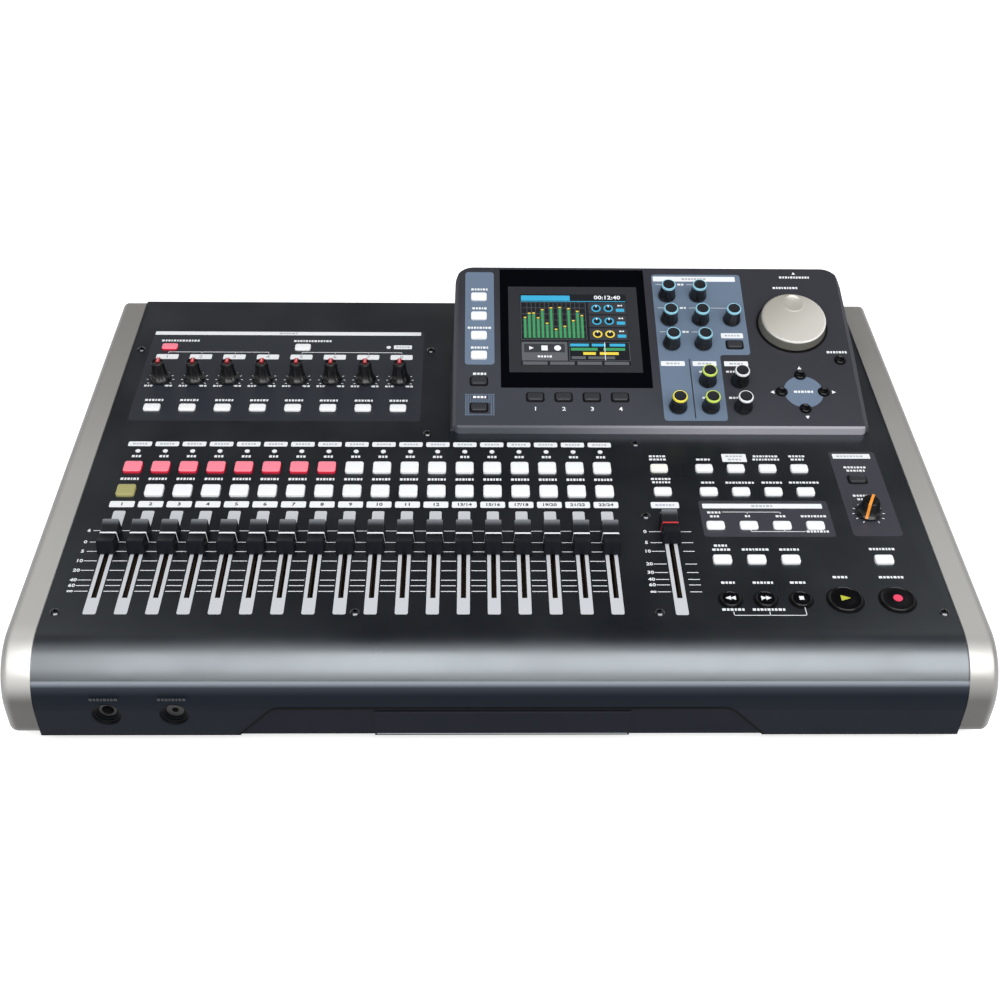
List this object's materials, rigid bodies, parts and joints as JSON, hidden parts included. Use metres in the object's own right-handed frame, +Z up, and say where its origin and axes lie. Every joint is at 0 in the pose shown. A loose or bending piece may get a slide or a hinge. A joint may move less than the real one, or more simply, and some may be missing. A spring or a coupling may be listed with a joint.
{
  "type": "digital multitrack recorder",
  "caption": "Desktop multitrack recorder with a flat fader panel, rolled nose, end cheeks and a tilted display pod with encoders and a jog dial.",
  "frame": {"origin": "on the table under the middle of the body", "axes": "+X to the user's right, +Y to the rear, +Z up"},
  "size_m": [0.516, 0.348, 0.1048],
  "materials": {
    "panel_paint": "satin dark charcoal paint",
    "fascia_plastic": "satin near-black moulding",
    "cheek_silver": "warm silver paint",
    "pod_plastic": "fine-grained dark grey moulding",
    "window_gloss": "polished black",
    "display_glass": "display glass",
    "pan_metal": "satin dark paint",
    "board_green": "circuit board",
    "socket_black": "black moulding",
    "screw_black": "black oxide",
    "foot_rubber": "matt rubber",
    "key_white": "milky white moulding",
    "key_dark": "dark moulding",
    "cap_dark": "satin dark moulding",
    "knob_dark": "black moulding",
    "jog_metal": "champagne turned metal"
  },
  "bodies": {
    "chassis": {"base_pan": "pan_metal", "rear_panel": "pan_metal", "top_panel": "panel_paint", "front_fascia": "fascia_plastic", "left_end_cheek": "cheek_silver", "right_end_cheek": "cheek_silver", "display_pod": "pod_plastic", "display_window": "window_gloss", "display_module": "display_glass", "circuit_boards": "board_green", "jack_sockets": "socket_black", "panel_screws": "screw_black", "rubber_feet": "foot_rubber"},
    "channel_keys": {"channel_keys": "key_white"},
    "function_keys": {"function_keys": "key_white"},
    "pod_keys": {"pod_keys": "key_white"},
    "play_key": {"play_key": "key_dark"},
    "record_key": {"record_key": "key_dark"},
    "standby_button": {"standby_button": "key_dark"},
    "channel_fader_1": {"channel_fader_1": "cap_dark"},
    "channel_fader_2": {"channel_fader_2": "cap_dark"},
    "channel_fader_3": {"channel_fader_3": "cap_dark"},
    "channel_fader_4": {"channel_fader_4": "cap_dark"},
    "channel_fader_5": {"channel_fader_5": "cap_dark"},
    "channel_fader_6": {"channel_fader_6": "cap_dark"},
    "channel_fader_7": {"channel_fader_7": "cap_dark"},
    "channel_fader_8": {"channel_fader_8": "cap_dark"},
    "channel_fader_9": {"channel_fader_9": "cap_dark"},
    "channel_fader_10": {"channel_fader_10": "cap_dark"},
    "channel_fader_11": {"channel_fader_11": "cap_dark"},
    "channel_fader_12": {"channel_fader_12": "cap_dark"},
    "channel_fader_13": {"channel_fader_13": "cap_dark"},
    "channel_fader_14": {"channel_fader_14": "cap_dark"},
    "channel_fader_15": {"channel_fader_15": "cap_dark"},
    "channel_fader_16": {"channel_fader_16": "cap_dark"},
    "channel_fader_17": {"channel_fader_17": "cap_dark"},
    "channel_fader_18": {"channel_fader_18": "cap_dark"},
    "master_fader": {"master_fader": "cap_dark"},
    "trim_knob_1": {"trim_knob_1": "knob_dark"},
    "trim_knob_2": {"trim_knob_2": "knob_dark"},
    "trim_knob_3": {"trim_knob_3": "knob_dark"},
    "trim_knob_4": {"trim_knob_4": "knob_dark"},
    "trim_knob_5": {"trim_knob_5": "knob_dark"},
    "trim_knob_6": {"trim_knob_6": "knob_dark"},
    "trim_knob_7": {"trim_knob_7": "knob_dark"},
    "trim_knob_8": {"trim_knob_8": "knob_dark"},
    "tone_encoder_1": {"tone_encoder_1": "knob_dark"},
    "tone_encoder_2": {"tone_encoder_2": "knob_dark"},
    "tone_encoder_3": {"tone_encoder_3": "knob_dark"},
    "tone_encoder_4": {"tone_encoder_4": "knob_dark"},
    "tone_encoder_5": {"tone_encoder_5": "knob_dark"},
    "tone_encoder_6": {"tone_encoder_6": "knob_dark"},
    "tone_encoder_7": {"tone_encoder_7": "knob_dark"},
    "pan_encoder": {"pan_encoder": "knob_dark"},
    "send_encoder_1": {"send_encoder_1": "knob_dark"},
    "send_encoder_2": {"send_encoder_2": "knob_dark"},
    "main_send_encoder_1": {"main_send_encoder_1": "knob_dark"},
    "main_send_encoder_2": {"main_send_encoder_2": "knob_dark"},
    "monitor_knob": {"monitor_knob": "knob_dark"},
    "jog_dial": {"jog_dial": "jog_metal"}
  },
  "joints": [
    {"name": "channel_keys_slide", "type": "slide", "parent": "chassis", "child": "channel_keys", "axis": [0, 0, -1], "range_m": [0, 0.0008], "stiffness_N_per_m": 600, "springref_m": -0.004},
    {"name": "function_keys_slide", "type": "slide", "parent": "chassis", "child": "function_keys", "axis": [0, 0, -1], "range_m": [0, 0.0008], "stiffness_N_per_m": 600, "springref_m": -0.004},
    {"name": "pod_keys_slide", "type": "slide", "parent": "chassis", "child": "pod_keys", "axis": [0, 0.2756, -0.9613], "range_m": [0, 0.0008], "stiffness_N_per_m": 600, "springref_m": -0.004},
    {"name": "play_key_slide", "type": "slide", "parent": "chassis", "child": "play_key", "axis": [0, 0, -1], "range_m": [0, 0.0008], "stiffness_N_per_m": 300, "springref_m": -0.003},
    {"name": "record_key_slide", "type": "slide", "parent": "chassis", "child": "record_key", "axis": [0, 0, -1], "range_m": [0, 0.0008], "stiffness_N_per_m": 300, "springref_m": -0.003},
    {"name": "standby_button_slide", "type": "slide", "parent": "chassis", "child": "standby_button", "axis": [0, -1, 0], "range_m": [0, 0.002], "stiffness_N_per_m": 300, "springref_m": -0.003},
    {"name": "channel_fader_1_slide", "type": "slide", "parent": "chassis", "child": "channel_fader_1", "axis": [0, 1, 0], "range_m": [-0.0389, 0.0103]},
    {"name": "channel_fader_2_slide", "type": "slide", "parent": "chassis", "child": "channel_fader_2", "axis": [0, 1, 0], "range_m": [-0.0389, 0.0103]},
    {"name": "channel_fader_3_slide", "type": "slide", "parent": "chassis", "child": "channel_fader_3", "axis": [0, 1, 0], "range_m": [-0.0389, 0.0103]},
    {"name": "channel_fader_4_slide", "type": "slide", "parent": "chassis", "child": "channel_fader_4", "axis": [0, 1, 0], "range_m": [-0.0389, 0.0103]},
    {"name": "channel_fader_5_slide", "type": "slide", "parent": "chassis", "child": "channel_fader_5", "axis": [0, 1, 0], "range_m": [-0.0389, 0.0103]},
    {"name": "channel_fader_6_slide", "type": "slide", "parent": "chassis", "child": "channel_fader_6", "axis": [0, 1, 0], "range_m": [-0.0389, 0.0103]},
    {"name": "channel_fader_7_slide", "type": "slide", "parent": "chassis", "child": "channel_fader_7", "axis": [0, 1, 0], "range_m": [-0.0389, 0.0103]},
    {"name": "channel_fader_8_slide", "type": "slide", "parent": "chassis", "child": "channel_fader_8", "axis": [0, 1, 0], "range_m": [-0.0389, 0.0103]},
    {"name": "channel_fader_9_slide", "type": "slide", "parent": "chassis", "child": "channel_fader_9", "axis": [0, 1, 0], "range_m": [-0.0389, 0.0103]},
    {"name": "channel_fader_10_slide", "type": "slide", "parent": "chassis", "child": "channel_fader_10", "axis": [0, 1, 0], "range_m": [-0.0389, 0.0103]},
    {"name": "channel_fader_11_slide", "type": "slide", "parent": "chassis", "child": "channel_fader_11", "axis": [0, 1, 0], "range_m": [-0.0389, 0.0103]},
    {"name": "channel_fader_12_slide", "type": "slide", "parent": "chassis", "child": "channel_fader_12", "axis": [0, 1, 0], "range_m": [-0.0389, 0.0103]},
    {"name": "channel_fader_13_slide", "type": "slide", "parent": "chassis", "child": "channel_fader_13", "axis": [0, 1, 0], "range_m": [-0.0389, 0.0103]},
    {"name": "channel_fader_14_slide", "type": "slide", "parent": "chassis", "child": "channel_fader_14", "axis": [0, 1, 0], "range_m": [-0.0389, 0.0103]},
    {"name": "channel_fader_15_slide", "type": "slide", "parent": "chassis", "child": "channel_fader_15", "axis": [0, 1, 0], "range_m": [-0.0389, 0.0103]},
    {"name": "channel_fader_16_slide", "type": "slide", "parent": "chassis", "child": "channel_fader_16", "axis": [0, 1, 0], "range_m": [-0.0389, 0.0103]},
    {"name": "channel_fader_17_slide", "type": "slide", "parent": "chassis", "child": "channel_fader_17", "axis": [0, 1, 0], "range_m": [-0.0389, 0.0103]},
    {"name": "channel_fader_18_slide", "type": "slide", "parent": "chassis", "child": "channel_fader_18", "axis": [0, 1, 0], "range_m": [-0.0389, 0.0103]},
    {"name": "master_fader_slide", "type": "slide", "parent": "chassis", "child": "master_fader", "axis": [0, 1, 0], "range_m": [-0.0481, 0]},
    {"name": "trim_knob_1_turn", "type": "hinge", "parent": "chassis", "child": "trim_knob_1", "pos_m": [-0.217, 0.0806, 0.058], "axis": [0, 0, 1], "range_deg": [-150, 150]},
    {"name": "trim_knob_2_turn", "type": "hinge", "parent": "chassis", "child": "trim_knob_2", "pos_m": [-0.195, 0.0806, 0.058], "axis": [0, 0, 1], "range_deg": [-150, 150]},
    {"name": "trim_knob_3_turn", "type": "hinge", "parent": "chassis", "child": "trim_knob_3", "pos_m": [-0.173, 0.0806, 0.058], "axis": [0, 0, 1], "range_deg": [-150, 150]},
    {"name": "trim_knob_4_turn", "type": "hinge", "parent": "chassis", "child": "trim_knob_4", "pos_m": [-0.151, 0.0806, 0.058], "axis": [0, 0, 1], "range_deg": [-150, 150]},
    {"name": "trim_knob_5_turn", "type": "hinge", "parent": "chassis", "child": "trim_knob_5", "pos_m": [-0.129, 0.0806, 0.058], "axis": [0, 0, 1], "range_deg": [-150, 150]},
    {"name": "trim_knob_6_turn", "type": "hinge", "parent": "chassis", "child": "trim_knob_6", "pos_m": [-0.107, 0.0806, 0.058], "axis": [0, 0, 1], "range_deg": [-150, 150]},
    {"name": "trim_knob_7_turn", "type": "hinge", "parent": "chassis", "child": "trim_knob_7", "pos_m": [-0.085, 0.0806, 0.058], "axis": [0, 0, 1], "range_deg": [-150, 150]},
    {"name": "trim_knob_8_turn", "type": "hinge", "parent": "chassis", "child": "trim_knob_8", "pos_m": [-0.063, 0.0806, 0.058], "axis": [0, 0, 1], "range_deg": [-150, 150]},
    {"name": "tone_encoder_1_turn", "type": "hinge", "parent": "chassis", "child": "tone_encoder_1", "pos_m": [0.1114, 0.12688, 0.09314], "axis": [0, -0.2756, 0.9613], "continuous": true},
    {"name": "tone_encoder_2_turn", "type": "hinge", "parent": "chassis", "child": "tone_encoder_2", "pos_m": [0.1317, 0.12688, 0.09314], "axis": [0, -0.2756, 0.9613], "continuous": true},
    {"name": "tone_encoder_3_turn", "type": "hinge", "parent": "chassis", "child": "tone_encoder_3", "pos_m": [0.1114, 0.10717, 0.08749], "axis": [0, -0.2756, 0.9613], "continuous": true},
    {"name": "tone_encoder_4_turn", "type": "hinge", "parent": "chassis", "child": "tone_encoder_4", "pos_m": [0.1317, 0.10717, 0.08749], "axis": [0, -0.2756, 0.9613], "continuous": true},
    {"name": "tone_encoder_5_turn", "type": "hinge", "parent": "chassis", "child": "tone_encoder_5", "pos_m": [0.152, 0.10717, 0.08749], "axis": [0, -0.2756, 0.9613], "continuous": true},
    {"name": "tone_encoder_6_turn", "type": "hinge", "parent": "chassis", "child": "tone_encoder_6", "pos_m": [0.1114, 0.08747, 0.08184], "axis": [0, -0.2756, 0.9613], "continuous": true},
    {"name": "tone_encoder_7_turn", "type": "hinge", "parent": "chassis", "child": "tone_encoder_7", "pos_m": [0.1317, 0.08747, 0.08184], "axis": [0, -0.2756, 0.9613], "continuous": true},
    {"name": "pan_encoder_turn", "type": "hinge", "parent": "chassis", "child": "pan_encoder", "pos_m": [0.1114, 0.03844, 0.06778], "axis": [0, -0.2756, 0.9613], "continuous": true},
    {"name": "send_encoder_1_turn", "type": "hinge", "parent": "chassis", "child": "send_encoder_1", "pos_m": [0.1317, 0.05825, 0.07346], "axis": [0, -0.2756, 0.9613], "continuous": true},
    {"name": "send_encoder_2_turn", "type": "hinge", "parent": "chassis", "child": "send_encoder_2", "pos_m": [0.1317, 0.03844, 0.06778], "axis": [0, -0.2756, 0.9613], "continuous": true},
    {"name": "main_send_encoder_1_turn", "type": "hinge", "parent": "chassis", "child": "main_send_encoder_1", "pos_m": [0.152, 0.05825, 0.07346], "axis": [0, -0.2756, 0.9613], "continuous": true},
    {"name": "main_send_encoder_2_turn", "type": "hinge", "parent": "chassis", "child": "main_send_encoder_2", "pos_m": [0.152, 0.03844, 0.06778], "axis": [0, -0.2756, 0.9613], "continuous": true},
    {"name": "monitor_knob_turn", "type": "hinge", "parent": "chassis", "child": "monitor_knob", "pos_m": [0.2126, -0.0505, 0.058], "axis": [0, 0, 1], "range_deg": [-300, 0]},
    {"name": "jog_dial_turn", "type": "hinge", "parent": "chassis", "child": "jog_dial", "pos_m": [0.1909, 0.10323, 0.08636], "axis": [0, -0.2756, 0.9613], "continuous": true}
  ]
}
